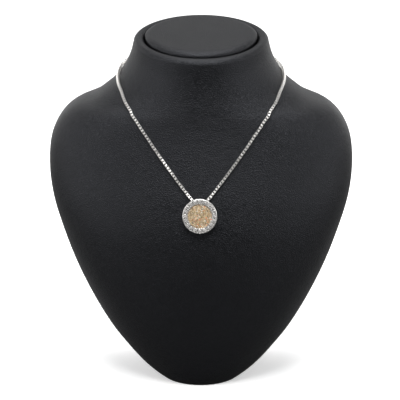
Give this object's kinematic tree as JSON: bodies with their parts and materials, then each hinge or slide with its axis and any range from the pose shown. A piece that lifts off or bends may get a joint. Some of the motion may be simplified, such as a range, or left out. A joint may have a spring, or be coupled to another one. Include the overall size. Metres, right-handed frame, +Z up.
{
  "type": "round pendant necklace on a neck bust",
  "caption": "Round sand-filled pendant with a halo of small cut stones, on a fine silver box chain, shown on a black leatherette neck bust.",
  "frame": {"origin": "middle of the bust's flat underside", "axes": "+Z up, the front of the bust and the pendant face -Y, +X to the right as seen from the front"},
  "size_m": [0.204, 0.1192, 0.2375],
  "materials": {
    "bust_leatherette": "black grained leatherette with a soft satin sheen",
    "cap_leatherette": "black grained leatherette over a thin pad",
    "chain_silver": "polished silver",
    "setting_silver": "polished silver, darker in the seams between the collars",
    "sand": "beach sand set in resin, with orange, cream and dark grains",
    "cut_stone": "clear, brilliant cut"
  },
  "bodies": {
    "root": {"neck_bust": "bust_leatherette", "neck_cap": "cap_leatherette", "chain": "chain_silver", "clasp": "chain_silver", "pendant_setting": "setting_silver", "sand_disk": "sand", "halo_stone_01": "cut_stone", "halo_stone_02": "cut_stone", "halo_stone_03": "cut_stone", "halo_stone_04": "cut_stone", "halo_stone_05": "cut_stone", "halo_stone_06": "cut_stone", "halo_stone_07": "cut_stone", "halo_stone_08": "cut_stone", "halo_stone_09": "cut_stone", "halo_stone_10": "cut_stone", "halo_stone_11": "cut_stone", "halo_stone_12": "cut_stone", "halo_stone_13": "cut_stone", "halo_stone_14": "cut_stone", "halo_stone_15": "cut_stone", "halo_stone_16": "cut_stone", "halo_stone_17": "cut_stone", "halo_stone_18": "cut_stone", "halo_stone_19": "cut_stone", "halo_stone_20": "cut_stone"}
  },
  "joints": []
}
